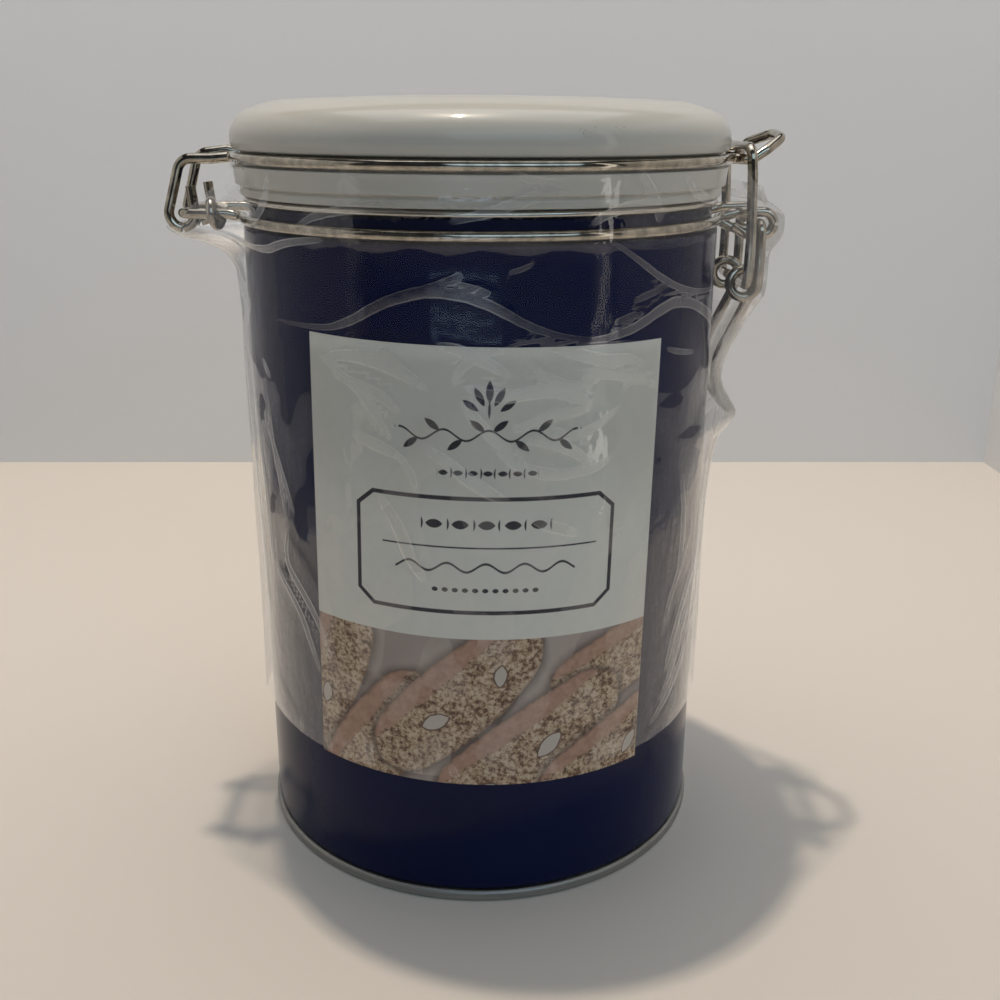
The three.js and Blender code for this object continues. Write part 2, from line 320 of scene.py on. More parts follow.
def makeLabelPrint():
    look = labelPrint
    finish = Finish("labelPaper")
    u, v, _ = finish.axes(finish.node("TexCoord", output=2))
    x = (u - 0.5) * labelShape["width"]
    y = v * labelShape["height"]
    flat = finish.node("CombineXYZ", (x, y, 0.0))

    def strip(value, middle, half):
        return value.near(middle, half - look["lineSoftness"], half + look["lineSoftness"])

    def slanted(x, y, px, py, turn):
        # axes along and across something that lies turned about its middle
        c, s = cos(radians(turn)), sin(radians(turn))
        return (x - px) * c + (y - py) * s, (y - py) * c - (x - px) * s

    def spot(x, y, px, py, turn, half, thin):
        # a leaf or nut: how far outside the overlap of two discs
        along, aside = slanted(x, y, px, py, turn)
        radius = (half * half + thin * thin) / (2 * thin)
        lifted = aside.size() + (radius - thin)
        return (along * along + lifted * lifted).root() - radius

    def spots(x, height, leaves):
        # how far outside the nearest of some leaves
        nearest, *others = [spot(x, y, px, height + py, *rest) for px, py, *rest in leaves]
        for other in others:
            nearest = nearest.atMost(other)
        return nearest

    paper = finish.blend(finish.grain(0.35, 2.0, vector=flat).fade(0.3, 0.8),
                                look["paper"], shaded(look["paper"], look["paperShade"]))

    # a frame with notched corners: an octagon's outline from the largest of its side distances
    f = look["frame"]
    middleX, halfX = (f["left"] + f["right"]) / 2, (f["right"] - f["left"]) / 2
    middleY, halfY = (f["low"] + f["high"]) / 2, (f["high"] - f["low"]) / 2
    across, upwards = (x - middleX).size() - halfX, (y - middleY).size() - halfY
    slope = hypot(f["notchWide"], f["notchHigh"])
    notch = (across * f["notchHigh"] + upwards * f["notchWide"] + f["notchWide"] * f["notchHigh"]) / slope
    edge = across.atLeast(upwards).atLeast(notch)
    r = look["rule"]
    rule = (strip(x, (r["left"] + r["right"]) / 2, (r["right"] - r["left"]) / 2)
            * strip(y, r["height"], r["line"] / 2))

    mirrored = (x - middleX).size()
    reach = spots(mirrored, 0.0, look["sprig"])
    for height, halfRow, period, leaves in look["rows"]:
        row = spots(mirrored.wrapped(period / 2, -period / 2), height, leaves)
        reach = reach.atMost(row.atLeast(mirrored - halfRow))
    for height, halfRow, period, rise, halfLine in look["waves"]:
        wave = (mirrored * (2 * pi / period)).cosine()
        line = (y - height - wave * rise).size() - halfLine
        reach = reach.atMost(line.atLeast(mirrored - halfRow))
    inked = (1 - reach.fade(-0.1, 0.12)).atLeast(rule).atLeast(strip(edge, 0.0, f["line"] / 2))

    # the picture of slices on a cloth
    wobble = (finish.grain(0.34, 3.0, 0.6, flat) - 0.5) * 2.6
    grit = finish.grain(0.95, 4.0, 0.72, flat, 0.25) + (finish.grain(0.3, 1.0, 0.5, flat) - 0.5) * 0.35
    crumb = finish.ramp(grit, look["crumb"])
    baked = finish.ramp(finish.grain(0.5, 3.0, 0.7, flat, 0.4), look["crust"])
    picture = finish.ramp(finish.grain(0.12, 1.0, 0.5, flat), look["cloth"])
    for *place, halfLong, halfWide, nuts in look["slices"]:
        along, aside = slanted(x, y, *place)
        rounding = halfWide * look["corner"]
        straight = halfWide - rounding
        overLong = (along.size() - (halfLong - rounding)).atLeast(0.0)
        # bowed along its length, and a little off the middle
        overWide = (aside + straight * 0.1).size() - straight + along * along * look["bow"]
        overWide = (overWide + wobble * look["ragged"]).atLeast(0.0)
        outside = (overLong * overLong + overWide * overWide).root() - rounding + wobble * look["ragged"]
        shadow = (1 - outside.fade(-0.4, 2.4)) * look["shadow"]
        picture = finish.blend(shadow, picture, look["shade"])
        crust = (aside + wobble * 0.7 + grit * 1.6).fade(halfWide * 0.52, halfWide * 0.6)
        face = finish.blend(crust, crumb, baked)
        face = finish.blend(outside.fade(-0.8, -0.1) * look["rimmed"], face, look["rim"])
        for leaf in nuts:
            nut = spot(along, aside, *leaf) + wobble * look["ragged"]
            face = finish.blend(1 - nut.fade(-0.1, 0.1), face, look["skin"])
            face = finish.blend(1 - nut.fade(-0.45, -0.2), face, look["nut"])
        picture = finish.blend(1 - outside.fade(-0.12, 0.12), picture, face)
    printed = finish.blend(inked, paper, look["ink"])
    pictured = 1 - y.fade(look["pictureTop"] - look["pictureSoftness"],
                          look["pictureTop"] + look["pictureSoftness"])
    printed = finish.blend(pictured, printed, picture)
    return finish.painted({"Base Color": printed, "Roughness": look["roughness"]})


filmLook = {
    "tint": (0.96, 0.97, 0.98, 1), "roughness": 0.04, "dull": 0.4,
    # share of light mirrored face on, edge on and at most
    "faceOn": 0.04, "edgeOn": 0.72, "falloff": 5.0, "most": 0.95,
    # gains where it lies tight, where it stands off, and low down for specks and matt film
    "clinging": 0.2, "loose": 0.95, "speckled": 0.35, "matt": 0.11,
    # haze of a fold, its edges and a pocket, and what the paper takes off it; dim is the painted shade of
    # the flat film over the paper
    "haze": 0.08, "edge": 0.16, "pocket": 0.16, "lostOnPaper": 0.5, "dim": 0.957,
    "crinkle": 0.35, "grain": 0.2,
}


def makeFilmFinish():
    look = filmLook
    finish = Finish("shrinkFilm")
    # it mirrors less where it clings to the tin; folds and pockets stand off with crisp borders
    wobble = finish.grain(230, 2.0) - 0.5
    cling, pocket, onPaper = (finish.field(name) for name in ("cling", "pocket", "onPaper"))
    clinging = (cling + wobble * 0.8).fade(-0.05, 0.05)
    beside = (finish.field("foldAside") + wobble * 0.6).size()
    rise = (finish.field("foldRise") * 2.6).atMost(1.0)
    ribbon = (1 - beside.fade(1.0, 1.15)) * rise
    # a fold is doubled film: hazy, palest along its two edges
    edge = beside.near(0.95, 0.04, 0.24) * rise
    folded = (ribbon * look["haze"] + edge * look["edge"]) * (1 - onPaper * look["lostOnPaper"])
    haze = folded + pocket * look["pocket"]
    # over the paper the flat film is painted a shade darker and the folds are left clear, so the folds look
    # lighter, as if they gathered light onto the paper
    paintedShadeOnPaper = onPaper * (1 - (1 - beside.fade(0.3, 1.7)) * rise)
    loose = ((1 - clinging) * (1 - finish.field("furrow"))).atLeast(ribbon)
    low = 1 - cling.fade(-0.7, 0.0)
    speckles = finish.grain(1500, 1.0).fade(0.5, 0.68) * look["speckled"] + look["matt"]
    gain = look["clinging"] + loose * look["loose"] + speckles * low
    creases = finish.grain(1.0, 2.0, 0.55, finish.stretched((170, 170, 50)))
    creased = finish.bump(creases, look["crinkle"], 0.0008)
    normal = finish.bump(finish.grain(420, 1.0), look["grain"], 0.0003, creased)
    facing = finish.node("LayerWeight", {"Blend": 0.5, "Normal": normal}, output=1)
    share = (look["faceOn"] + facing ** look["falloff"] * look["edgeOn"]) * gain + haze
    clear = finish.node("BsdfTransparent")
    # painted shade: over the paper the film passes a little less light, except along the folds
    dim = finish.node("BsdfTransparent", {"Color": shaded((1, 1, 1), look["dim"])})
    through = finish.node("MixShader", (paintedShadeOnPaper, clear, dim))
    dull = ribbon.atLeast(edge).atLeast(pocket) * look["dull"]
    gloss = finish.principled({"Base Color": look["tint"], "Metallic": 1.0,
                               "Roughness": look["roughness"] + dull, "Normal": normal})
    mirrored = share.atMost(look["most"])
    return finish.done(finish.node("MixShader", (mirrored, through, gloss)))


# places and sizes of the camera, the light box and the lamps are in metres
viewPoint = {"lens": 40.84, "sensor": 36, "nearest": 0.01, "place": (0, -0.2705, 0.1697),
             "down": 18.67, "towardsLatch": 0.99, "roll": 0.28}
lightBox = {"back": 0.293, "front": -0.154, "side": 0.262, "height": 0.40, "ground": 3,
            "wall": (0.70, 0.705, 0.715), "wallRoughness": 0.8,
            "floor": (0.72, 0.667, 0.61), "floorRoughness": 0.6}
# what lights the pieces from all round, and what the camera sees past the walls
surroundings = {"light": (0.035, 0.036, 0.04, 1), "seen": (0.34, 0.335, 0.33, 1)}
# place, aim, width and height, watts and tint
lamps = {
    "key": ((-0.081, 0.101, 1.08), (0, 0, 0.05), (0.03, 0.03), 5.1, (1.0, 0.86, 0.69)),
    "ceiling": ((0.0, 0.08, 0.55), (0, 0.08, 0), (0.46, 0.42), 0.80, (0.98, 0.98, 1.0)),
    "room": ((0.35, -1.25, 0.85), (0, 0, 0.1), (1.5, 0.8), 4.9, (0.56, 0.77, 0.94)),
    "window": ((-0.07, -0.72, 0.027), (0, 0, 0.13), (0.36, 0.03), 0.045, (0.62, 0.78, 1.0)),
    "hingeSideFlap": ((-0.259, -0.174, 0.20), (0, -0.174, 0.20), (0.04, 0.38), 0.016, (1.0, 0.97, 0.93)),
    "latchSideFlap": ((0.259, -0.197, 0.20), (0, -0.197, 0.20), (0.03, 0.38), 0.055, (1.0, 0.95, 0.88)),
}


def setCamera():
    turn = (Matrix.Rotation(radians(-viewPoint["towardsLatch"]), 4, "Z")
            @ Matrix.Rotation(radians(90 - viewPoint["down"]), 4, "X")
            @ Matrix.Rotation(radians(viewPoint["roll"]), 4, "Z"))
    bpy.ops.object.camera_add(location=viewPoint["place"], rotation=turn.to_euler())
    camera = bpy.context.object
    camera.data.lens = viewPoint["lens"]
    camera.data.sensor_width = viewPoint["sensor"]
    camera.data.clip_start = viewPoint["nearest"]
    bpy.context.scene.camera = camera


def paintStage(name, tint, roughness):
    # a wall that is seen through from behind, so the light box can be looked into from all sides
    finish = Finish(name)
    wall = finish.principled({"Base Color": tint + (1,), "Roughness": roughness})
    behind = finish.node("NewGeometry", output=6)
    clear = finish.node("BsdfTransparent")
    return finish.done(finish.node("MixShader", (behind, wall, clear)))


def addPlane(name, place, turn, size, material):
    bpy.ops.mesh.primitive_plane_add(size=1, location=place, rotation=turn)
    plane = nameIt(name)
    plane.scale = (size[0], size[1], 1)
    settle(plane)
    plane.data.materials.append(material)
    plane.visible_shadow = False


def buildStage():
    b = lightBox
    upright = pi / 2
    depth, middle = b["back"] - b["front"], (b["back"] + b["front"]) / 2
    floorPaint = paintStage("paleFloor", b["floor"], b["floorRoughness"])
    addPlane("floor", (0, 0, 0), (0, 0, 0), (b["ground"], b["ground"]), floorPaint)
    wallPaint = paintStage("paleWall", b["wall"], b["wallRoughness"])
    for name, x, y, turn, wide in (("backWall", 0, b["back"], 0, 2 * b["side"]),
                                   ("latchSideWall", b["side"], middle, -upright, depth),
                                   ("hingeSideWall", -b["side"], middle, upright, depth)):
        addPlane(name, (x, y, b["height"] / 2), (upright, 0, turn), (wide, b["height"]), wallPaint)


def setLights():
    for name, (place, aim, size, watts, tint) in lamps.items():
        turn = (Vector(aim) - Vector(place)).to_track_quat("-Z", "Y").to_euler()
        bpy.ops.object.light_add(type="AREA", location=place, rotation=turn)
        light = bpy.context.object
        light.name = name
        light.data.shape = "RECTANGLE"
        light.data.size, light.data.size_y = size
        light.data.energy = watts
        light.data.color = tint
        light.visible_camera = False
    room = Finish("room", bpy.data.worlds.new("room"), "OutputWorld")
    toCamera = room.node("LightPath")
    light = room.node("Background", {"Color": surroundings["light"]})
    seen = room.node("Background", {"Color": surroundings["seen"]})
    scene = bpy.context.scene
    scene.world = room.done(room.node("MixShader", (toCamera, light, seen)))
    scene.view_settings.view_transform = "Standard"
    scene.view_settings.look = "None"


bendStep = 9.0      # degrees of a bend between two of its points


def roundCorners(corners):
    # corners are (x, y, z, bend radius); one without a bend radius stays sharp
    at = [Vector(corner[:3]) for corner in corners]
    points = []
    for i, corner in enumerate(corners):
        bend = corner[3] if len(corner) > 3 else 0
        if not bend:
            points.append(at[i])
            continue
        back, ahead = (at[i - 1] - at[i]).normalized(), (at[i + 1] - at[i]).normalized()
        half = back.angle(ahead) / 2
        centre = (back + ahead).normalized() * (bend / sin(half)) + at[i]
        spoke = back * (bend / tan(half)) + at[i] - centre
        turn = pi - 2 * half
        steps = max(2, ceil(degrees(turn) / bendStep))
        axis = ahead.cross(back)
        for k in range(steps + 1):
            points.append(Matrix.Rotation(turn * k / steps, 3, axis) @ spoke + centre)
    return points


# corners of the outlines are (radius, height, bend radius)
tinShape = {"sides": 180, "corners": [
    (50, 3.02), (54, 3.02, 0.5), (54, 20), (54, 140), (54, 146.93, 1), (52.6, 146.97, 0.35),
    (52.6, 151.3), (52, 151.3), (52, 152.6), (30, 152.6)]}
footShape = {"sides": 180, "corners": [
    (50.2, 2), (50.62, 2), (52, 0, 0.6), (54.7, 0, 0.85), (54.7, 2.62, 0.75), (30, 2.62)]}
curlShape = {"middle": 53.1, "reach": 0.65, "height": 152.3, "rise": 0.64, "sides": 180, "round": 20}
lidShape = {"sides": 192, "corners": [
    (40, 153.35), (54.38, 153.3, 0.45), (54.38, 154.8, 0.7), (54.02, 155.43, 0.12),
    (55.22, 155.68, 0.35), (55.62, 159.6, 0.3), (53.75, 159.75, 0.5), (53.75, 162.6, 0.45),
    (55.35, 162.6, 0.8), (55.92, 164.4, 2), (55.92, 169.22, 6.4), (47.27, 172.9, 23.5),
    (25.9, 173.87, 150), (1, 173.87)]}


def turnUp(name, shape):
    # a disc raised ring by ring, each ring scaled to its own radius
    outline = roundCorners([(radius, 0, *rest) for radius, *rest in shape["corners"]])
    (radius, height), *steps = [(point.x, point.z) for point in outline]
    bpy.ops.mesh.primitive_circle_add(vertices=shape["sides"], radius=radius * mm, fill_type="NGON",
                                      location=(0, 0, height * mm))
    piece = nameIt(name)
    bpy.ops.object.transform_apply()
    openUp(piece)
    for nextRadius, nextHeight in steps:
        bpy.ops.mesh.extrude_region_move(
            TRANSFORM_OT_translate={"value": (0, 0, (nextHeight - height) * mm)})
        share = nextRadius / radius
        bpy.ops.transform.resize(value=(share, share, 1), center_override=(0, 0, nextHeight * mm))
        radius, height = nextRadius, nextHeight
    bpy.ops.mesh.select_all(action="SELECT")
    bpy.ops.mesh.normals_make_consistent(inside=False)
    bpy.ops.object.mode_set(mode="OBJECT")
    return settle(piece)


def makeCurl():
    c = curlShape
    bpy.ops.mesh.primitive_torus_add(major_segments=c["sides"], minor_segments=c["round"],
                                     major_radius=c["middle"] * mm, minor_radius=c["reach"] * mm,
                                     location=(0, 0, c["height"] * mm))
    curl = nameIt("neckCurl")
    openUp(curl)
    flat = c["rise"] / c["reach"]
    bpy.ops.transform.resize(value=(1, 1, flat), center_override=(0, 0, c["height"] * mm))
    bpy.ops.object.mode_set(mode="OBJECT")
    return settle(curl, smoothUnder=60)


wireShape = {"radius": 1.14, "round": 6, "ringStep": 2.0}
lidRing = {"radius": 55.26, "z": 161.14}
neckRing = {"radius": 54.16, "z": 148.4}
nose = {"y": 9, "tipX": 67.4, "tipY": 4.4, "tipZ": 165.9, "tilt": 0.4}
hook = {"y": 8.5, "cornerX": -66.4, "outX": -70.86, "inX": -63.6, "bottomZ": 145.8, "bend": 3.1}
bracket = {"y": 11.3, "x": -66.45, "z": 149.1}
eye = {"y": 8.6, "x": 66.05, "lowZ": 144.3, "highZ": 149.75, "bend": 2.6}
coil = {"x": 59.8, "z": 133.9, "radius": 3.07, "turn": 385, "step": 2.7, "points": 44}
lever = {"y": 11.2, "pivotX": 62.75, "pivotZ": 147.15, "footX": 53.1, "footZ": 112.2,
         "tipX": 59.2, "tipZ": 103.4}
bail = {"y": 14, "barX": 58.8, "barZ": 163.6}
wrap = {"radius": 2.55, "startX": -59.8, "pitch": 2.2, "start": 70, "turn": 330, "points": 40}


def ringPoints(ring, start, end):
    count = round((end - start) / wireShape["ringStep"])
    angles = [radians(start + (end - start) * i / count) for i in range(count + 1)]
    return [(ring["radius"] * cos(a), ring["radius"] * sin(a), ring["z"]) for a in angles]


def bendWire(name, corners):
    points = roundCorners(corners)
    path = bpy.data.curves.new(name, "CURVE")
    path.dimensions = "3D"
    path.bevel_depth = wireShape["radius"] * mm
    path.bevel_resolution = wireShape["round"]
    path.use_fill_caps = True
    line = path.splines.new("POLY")
    line.points.add(len(points) - 1)
    for place, point in zip(line.points, points):
        place.co = (*(point * mm), 1)
    piece = bpy.data.objects.new(name, path)
    bpy.context.scene.collection.objects.link(piece)
    takeUp(piece)
    bpy.ops.object.convert(target="MESH")
    piece = bpy.context.object
    piece.data.name = name
    mend(piece, 0.001 * mm)
    return settle(piece, smoothUnder=50)


def bothSides(far, near=None):
    # halves are listed as if on the far side; the path runs from the near one's end to the far one's
    return [(x, -y, z, *bend) for x, y, z, *bend in near or far][::-1] + far


def lidWireHalf(near):
    armZ, cornerZ = (160.7, 160.7) if near else (162.1, 161.3)
    y = hook["y"]
    return [
        (nose["tipX"], nose["tipY"], nose["tipZ"] + (-nose["tilt"] if near else nose["tilt"]), 3.2),
        (63.6, 7.7, 163.1, 3) if near else (62.5, 8, 164.3, 2.4),
        (60.2, nose["y"] - 0.5, lidRing["z"] - 0.2, 1.6),
        (55.3, nose["y"], lidRing["z"], 1.6),
        *ringPoints(lidRing, 18, 162),
        (-54.6, y, lidRing["z"], 1.6),
        (-59.5, y, armZ),
        (hook["cornerX"], y, cornerZ, 3.2),
        (hook["outX"], y, hook["bottomZ"], hook["bend"]),
        (hook["inX"], y, hook["bottomZ"], hook["bend"]),
        (hook["inX"] - 1, y, 154.9),
    ]


def neckWireHalf():
    return [
        (bracket["x"], bracket["y"], bracket["z"], 2.4),
        (-56.5, bracket["y"], bracket["z"]),
        (-52.97, bracket["y"], neckRing["z"], 2),
        *ringPoints(neckRing, 18, 160)[::-1],
        (53.5, eye["y"], neckRing["z"], 2),
        (57.5, eye["y"], eye["highZ"] - 0.2),
        (eye["x"], eye["y"], eye["highZ"], eye["bend"]),
        (eye["x"], eye["y"], eye["lowZ"], eye["bend"]),
        (59.9, eye["y"], eye["lowZ"] + 0.5),
        (56.8, eye["y"], eye["lowZ"] + 2.1),
    ]


def bailHalf():
    return [
        (bail["barX"], bail["y"], bail["barZ"], 2.8),
        (59.3, bail["y"], 158),
        (59.95, bail["y"], 144),
        (coil["x"], bail["y"], coil["z"], 2.2),
        (coil["x"], 7, coil["z"]),
    ]


def leverHalf():
    turns = []
    for i in range(coil["points"] + 1):
        left = 1 - i / coil["points"]
        angle = radians(-coil["turn"] * left)
        turns.append((coil["x"] + coil["radius"] * cos(angle), lever["y"] - coil["step"] * left,
                      coil["z"] + coil["radius"] * sin(angle)))
    handleY = lever["y"] - coil["step"]
    return [
        (lever["tipX"], handleY, lever["tipZ"], 2.8),
        (lever["footX"], handleY, lever["footZ"], 13),
        *turns,
        (62.95, lever["y"], 141),
        (lever["pivotX"], lever["y"], lever["pivotZ"], 1.8),
        (lever["pivotX"], 7.1, lever["pivotZ"]),
    ]


def wrapCorners():
    corners = []
    for i in range(wrap["points"] + 1):
        share = i / wrap["points"]
        angle = radians(wrap["start"] + wrap["turn"] * share)
        corners.append((wrap["startX"] + wrap["pitch"] * share,
                        -bracket["y"] + wrap["radius"] * cos(angle),
                        bracket["z"] + wrap["radius"] * sin(angle)))
    return corners


labelShape = {"width": 78.2, "height": 97.1, "thickness": 0.11, "low": 30.5, "lean": 1.2, "side": 0.45,
              "rolledOn": 54.0, "radius": 54.2, "columns": 72, "rows": 6}


def makeLabel():
    s = labelShape
    middle = Vector((0, 0, (s["low"] + s["height"] / 2) * mm))
    bpy.ops.mesh.primitive_grid_add(x_subdivisions=s["columns"], y_subdivisions=s["rows"], size=1,
                                    location=middle, rotation=(pi / 2, 0, 0))
    label = nameIt("frontLabel")
    label.scale = (s["width"] * mm, s["height"] * mm, 1)
    bpy.ops.object.transform_apply(location=False)
    label.rotation_euler = (0, radians(s["lean"]), 0)
    bpy.ops.object.transform_apply()
    # rolled onto the tin
    for vertex in label.data.vertices:
        angle = vertex.co.x / (s["rolledOn"] * mm) + radians(s["side"] - 90)
        reach = s["radius"] * mm
        vertex.co = (reach * cos(angle), reach * sin(angle), vertex.co.z)
    applyModifier(label, "SOLIDIFY", thickness=s["thickness"] * mm, offset=-1.0)
    return settle(label, smoothUnder=40)


bandShape = {
    "columns": 336, "rows": 136, "low": 31.5, "high": 160.95, "wall": 0.05, "radius": 54.5,
    # how much the columns crowd towards latch and hinge, and from what height the rows give way
    "crowding": 0.16, "slackFrom": 135,
    # height and the radius of whatever the band lies on
    "girth": [(31, 54.45), (34, 54.5), (140.5, 54.5), (143.5, 54.62), (145.6, 55), (147.2, 55.48),
              (149.4, 55.5), (151.5, 55.42), (155.2, 55.5), (156.4, 55.62), (159, 55.86), (160.2, 56.5),
              (161.2, 56.6)],
    # height, reach and half width of the tents over the latch and the hinge
    "latch": [(80, 54.4, 9.5), (84, 54.6, 9.5), (90, 55, 9.5), (94, 55.7, 9.4), (98.2, 57, 9.2),
              (101.2, 59.6, 9), (102.6, 60.55, 9), (104, 60.4, 9.2), (106, 59.1, 9.7), (109, 57.2, 9.9),
              (112, 56.2, 9.9), (115, 56.4, 9.9), (119, 57.9, 9.9), (125, 60.8, 9.9), (129, 62.7, 11.3),
              (131.5, 64.1, 12.6), (134, 64.5, 12.6), (141, 64.6, 12.6), (143.2, 66.2, 12.5),
              (145, 67.2, 12.4), (147, 67.5, 12.4), (149.4, 67.3, 12.5), (151, 65.3, 13.6),
              (152.8, 62.3, 15.3), (156, 61.3, 15.4), (161, 61, 15.4)],
    "hinge": [(128, 54.5, 10.5), (134, 54.9, 10.5), (137.4, 55.4, 10.5), (140, 57, 10.4),
              (141.5, 58.8, 10.3), (143, 62.2, 10.2), (144.2, 67.6, 10), (145.2, 69.4, 10),
              (146.6, 70.5, 10), (150, 68.2, 12.8), (152.5, 63.3, 15), (157, 58.3, 15), (161, 55, 15)],
    # how deep the upper edge dips there, and between which radians off latch or hinge the dip ends
    "latchDip": (5.2, 0.26, 0.40), "hingeDip": (14.6, 0.17, 0.42),
    # ragged edges: sines of so many turns and heights, and how much of them each edge takes
    "ragged": {"seed": 5, "count": 7, "turns": (2, 9), "high": (0.06, 0.2)},
    "topRagged": 0.3, "footRagged": 0.5,
    "swell": {"seed": 7, "count": 12, "around": (4, 20), "upwards": (0.04, 0.2)},
    # the least gap to the tin, the slack on top of it and the share of a fold's height that is modelled
    "gap": 0.05, "slack": 0.16, "foldShare": 0.4,
    # where the paper lies below: degrees off its middle, and heights, between which it ends
    "paperSide": (40.5, 43.5), "paperFoot": (88, 108), "paperTop": (124, 126.5),
}
anyStart = 6.28      # a sine starts anywhere up to this many radians

# folds: points of azimuth in degrees and height, then height of the fold and its half width
bandFolds = [
    ([(-125, 124), (-119, 125), (-112, 124), (-106, 122), (-101, 119)], 0.35, 1.4),
    ([(-124, 121), (-117, 119), (-111, 117), (-107, 114)], 0.3, 1.2),
    ([(-99, 128), (-94, 127), (-88, 124), (-84, 122)], 0.35, 1.2),
    ([(-94, 120), (-88, 118), (-83, 118), (-76, 119), (-69, 117), (-66, 115)], 0.4, 1.4),
    ([(-66, 115), (-70, 114), (-76, 114), (-80, 112), (-84, 111)], 0.35, 1.2),
    ([(-81, 109), (-75, 108), (-70, 106), (-66, 103)], 0.35, 1.2),
    ([(-66, 103), (-71, 101), (-78, 102), (-83, 104), (-87, 107)], 0.35, 1.2),
    ([(-94, 117), (-91, 113), (-86, 108), (-81, 105)], 0.3, 1.2),
    ([(-103, 108), (-98, 105), (-93, 101), (-88, 98), (-84, 96)], 0.3, 1.4),
    ([(-78, 128), (-71, 126), (-64, 124), (-58, 124), (-52, 122)], 0.35, 1.2),
    ([(-69, 122), (-62, 121), (-53, 119), (-48, 117)], 0.3, 1),
    ([(-119, 109), (-113, 107), (-107, 105)], 0.3, 1.2),
    ([(-79, 92), (-74, 90), (-68, 88)], 0.25, 1.2),
    ([(-113, 97), (-108, 90), (-106, 84), (-102, 78)], 0.3, 1.4),
    ([(-156, 146), (-145, 143), (-134, 146), (-123, 147)], 0.35, 0.8),
    ([(-85.5, 141.5), (-82, 142.3), (-79, 143.8)], 0.14, 0.5),
    ([(-98, 140.1), (-94, 139.7), (-90, 138.7), (-87, 137.4)], 0.3, 0.5),
    ([(-95.5, 126.2), (-91, 126.8), (-87, 127.2), (-84.5, 126.4)], 0.3, 0.5),
    ([(-85, 127.6), (-81, 128.6), (-77, 128.8), (-74.5, 128.0)], 0.25, 0.4),
    ([(-142, 129.5), (-126, 129.5), (-121, 130.5), (-116, 132.5), (-111, 135.5), (-106, 137), (-102, 138),
      (-98, 138), (-93, 137.5), (-89, 136), (-84, 133.5), (-79, 131), (-74, 129.5), (-64, 128)], 0.22, 1.1),
    ([(-108, 137), (-101, 138.5), (-97, 140), (-93.5, 142)], 0.16, 0.8),
    ([(-64, 147.5), (-57, 144), (-51, 140.5), (-46, 138), (-40, 136), (-34, 135), (-27, 135.5)], 0.22, 0.7),
    ([(-70, 128), (-61, 128.5), (-54, 130.5), (-48, 133), (-42, 134), (-35, 132.5), (-28, 129),
      (-23, 124)], 0.26, 1.1),
    ([(-57, 135), (-53, 136), (-47, 137)], 0.12, 0.7),
    ([(-62, 131), (-58, 132), (-54.5, 133)], 0.12, 0.7),
    ([(-46, 124.5), (-40, 123), (-33, 122)], 0.2, 0.6),
    ([(-127, 124), (-123, 122), (-118, 119), (-114, 115), (-111, 111), (-109, 108)], 0.35, 0.9),
    ([(-112, 127), (-109, 125), (-106, 122)], 0.3, 1.1),
    ([(-96, 120), (-94, 124), (-89, 127)], 0.3, 0.8),
    ([(-108, 106), (-105, 102), (-104, 98)], 0.3, 0.8),
    ([(-82, 126), (-76, 121), (-70, 119), (-63, 121)], 0.3, 0.9),
    ([(-78, 112), (-70, 109), (-64, 111), (-58, 115)], 0.28, 0.9),
    ([(-60, 104), (-67, 101), (-75, 102)], 0.25, 0.9),
    ([(-49, 120), (-55, 120), (-59, 117)], 0.25, 0.8),
    ([(-149, 73), (-146, 70), (-141, 67), (-137, 63), (-134, 57), (-131, 51)], 0.5, 0.9),
    ([(-150, 120), (-146, 116)], 0.35, 0.8),
    ([(-151, 108), (-146, 101), (-142, 95), (-138, 87)], 0.45, 0.9),
    ([(-148, 112), (-147, 103), (-144, 94), (-141, 84)], 0.4, 0.8),
    ([(-141, 84), (-144, 75), (-137, 70), (-131, 64), (-127, 55)], 0.5, 1.0),
    ([(-159, 118), (-158, 104), (-153, 88), (-151, 70)], 0.45, 1.0),
    ([(-166, 122), (-164, 100), (-160, 80), (-158, 58)], 0.5, 1.1),
    ([(-17, 100), (-19, 84), (-24, 66), (-28, 48)], 0.55, 1.1),
    ([(-12, 98), (-13, 80), (-18, 62), (-20, 44)], 0.5, 1.0),
    ([(-15, 79), (-22, 72), (-29, 66), (-35, 57), (-39, 48)], 0.5, 1.3),
    ([(-18, 71), (-23, 66), (-29, 59), (-34, 50), (-41, 41)], 0.5, 1.1),
    ([(-20, 58), (-24, 54), (-29, 49), (-36, 42), (-45, 36)], 0.45, 1.2),
    ([(-29, 79), (-34, 73), (-38, 67), (-41, 60)], 0.35, 0.9),
    ([(-36, 96), (-33, 84), (-35, 70)], 0.3, 1.2),
    ([(-146, 148), (-142, 152), (-139, 159)], 0.3, 0.9),
    ([(-131, 149), (-124, 152), (-112, 153.5), (-101, 152)], 0.3, 0.8),
    ([(-118, 160), (-113, 156), (-104, 155)], 0.22, 0.9),
    ([(-97, 151), (-88, 153), (-79, 156), (-72, 156)], 0.3, 1.0),
    ([(-84, 160), (-79, 158), (-73, 158.5)], 0.22, 0.8),
    ([(-69, 150), (-63, 153), (-56, 154), (-48, 152)], 0.3, 0.9),
    ([(-58, 160), (-53, 156), (-51, 150)], 0.3, 1.1),
    ([(-44, 159), (-39, 155), (-31, 153)], 0.3, 0.9),
    ([(-160, 156), (-151, 154), (-143, 150)], 0.3, 0.9),
]


# more folds round the sides and the back: how many, the first one's azimuth and the step to the next
strays = {"seed": 11, "pleats": (15, 12, 11.2), "waves": (8, 16, 19), "ringWaves": (9, 8, 20), "nicks": 18,
          "hemNicks": (30, -178, 12)}


